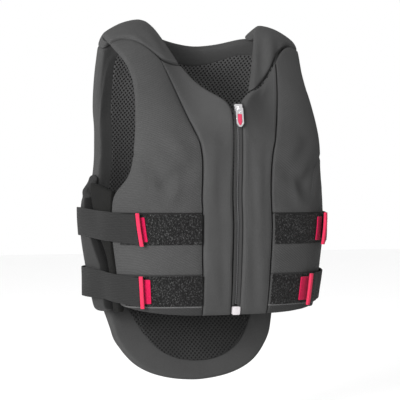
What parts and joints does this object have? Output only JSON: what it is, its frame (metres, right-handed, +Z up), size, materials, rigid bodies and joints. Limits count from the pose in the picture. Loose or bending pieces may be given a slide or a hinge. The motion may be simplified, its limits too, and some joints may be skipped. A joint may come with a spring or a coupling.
{
  "type": "equestrian body protector",
  "caption": "Padded riding vest worn over the chest and back, with a front zip, hook-and-loop waist straps and a rounded tail over the lower back.",
  "frame": {"origin": "midway between the two shoulder pads, on the line where they rest on the shoulders", "axes": "+X to the wearer's left, -Y out of the front of the vest, +Z up along the body"},
  "size_m": [0.3641, 0.2711, 0.5442],
  "materials": {
    "smooth": "matt stretch fabric",
    "ribbed": "matt fabric with a fine slanting rib",
    "gusset": "matt",
    "lining": "matt, perforated",
    "hook": "fuzzy hook-and-loop",
    "elastic": "finely ribbed elastic webbing",
    "bright": "matt",
    "tape": "woven tape",
    "teeth": "moulded, satin",
    "stop": "satin silver",
    "metal": "polished"
  },
  "bodies": {
    "vest": {"zip_tape_right": "tape", "zip_tape_left": "tape", "zip_chain": "teeth", "zip_slider": "metal", "zip_stop": "stop", "front_centre_right": "smooth", "front_centre_left": "smooth", "front_side_right": "ribbed", "front_side_left": "ribbed", "shoulder_right": "smooth", "shoulder_left": "smooth", "side_gusset_right": "gusset", "side_gusset_left": "gusset", "back_wing_right": "smooth", "back_wing_left": "smooth", "landing_upper_right": "hook", "landing_upper_left": "hook", "landing_lower_right": "hook", "landing_lower_left": "hook", "strap_upper_right": "elastic", "strap_upper_left": "elastic", "strap_lower_right": "elastic", "strap_lower_left": "elastic", "strap_binding_upper_right": "bright", "strap_binding_upper_left": "bright", "strap_binding_lower_right": "bright", "strap_binding_lower_left": "bright", "strap_tab_upper_right": "bright", "strap_tab_upper_left": "bright", "strap_tab_lower_right": "bright", "strap_tab_lower_left": "bright", "back_panel": "smooth", "back_lining": "lining"},
    "zip_puller": {"zip_puller": "metal", "puller_insert": "bright"}
  },
  "joints": [
    {"name": "puller_hinge", "type": "hinge", "parent": "vest", "child": "zip_puller", "pos_m": [0, -0.14142, -0.12136], "axis": [-1, 0, 0], "range_deg": [0, 160]}
  ]
}
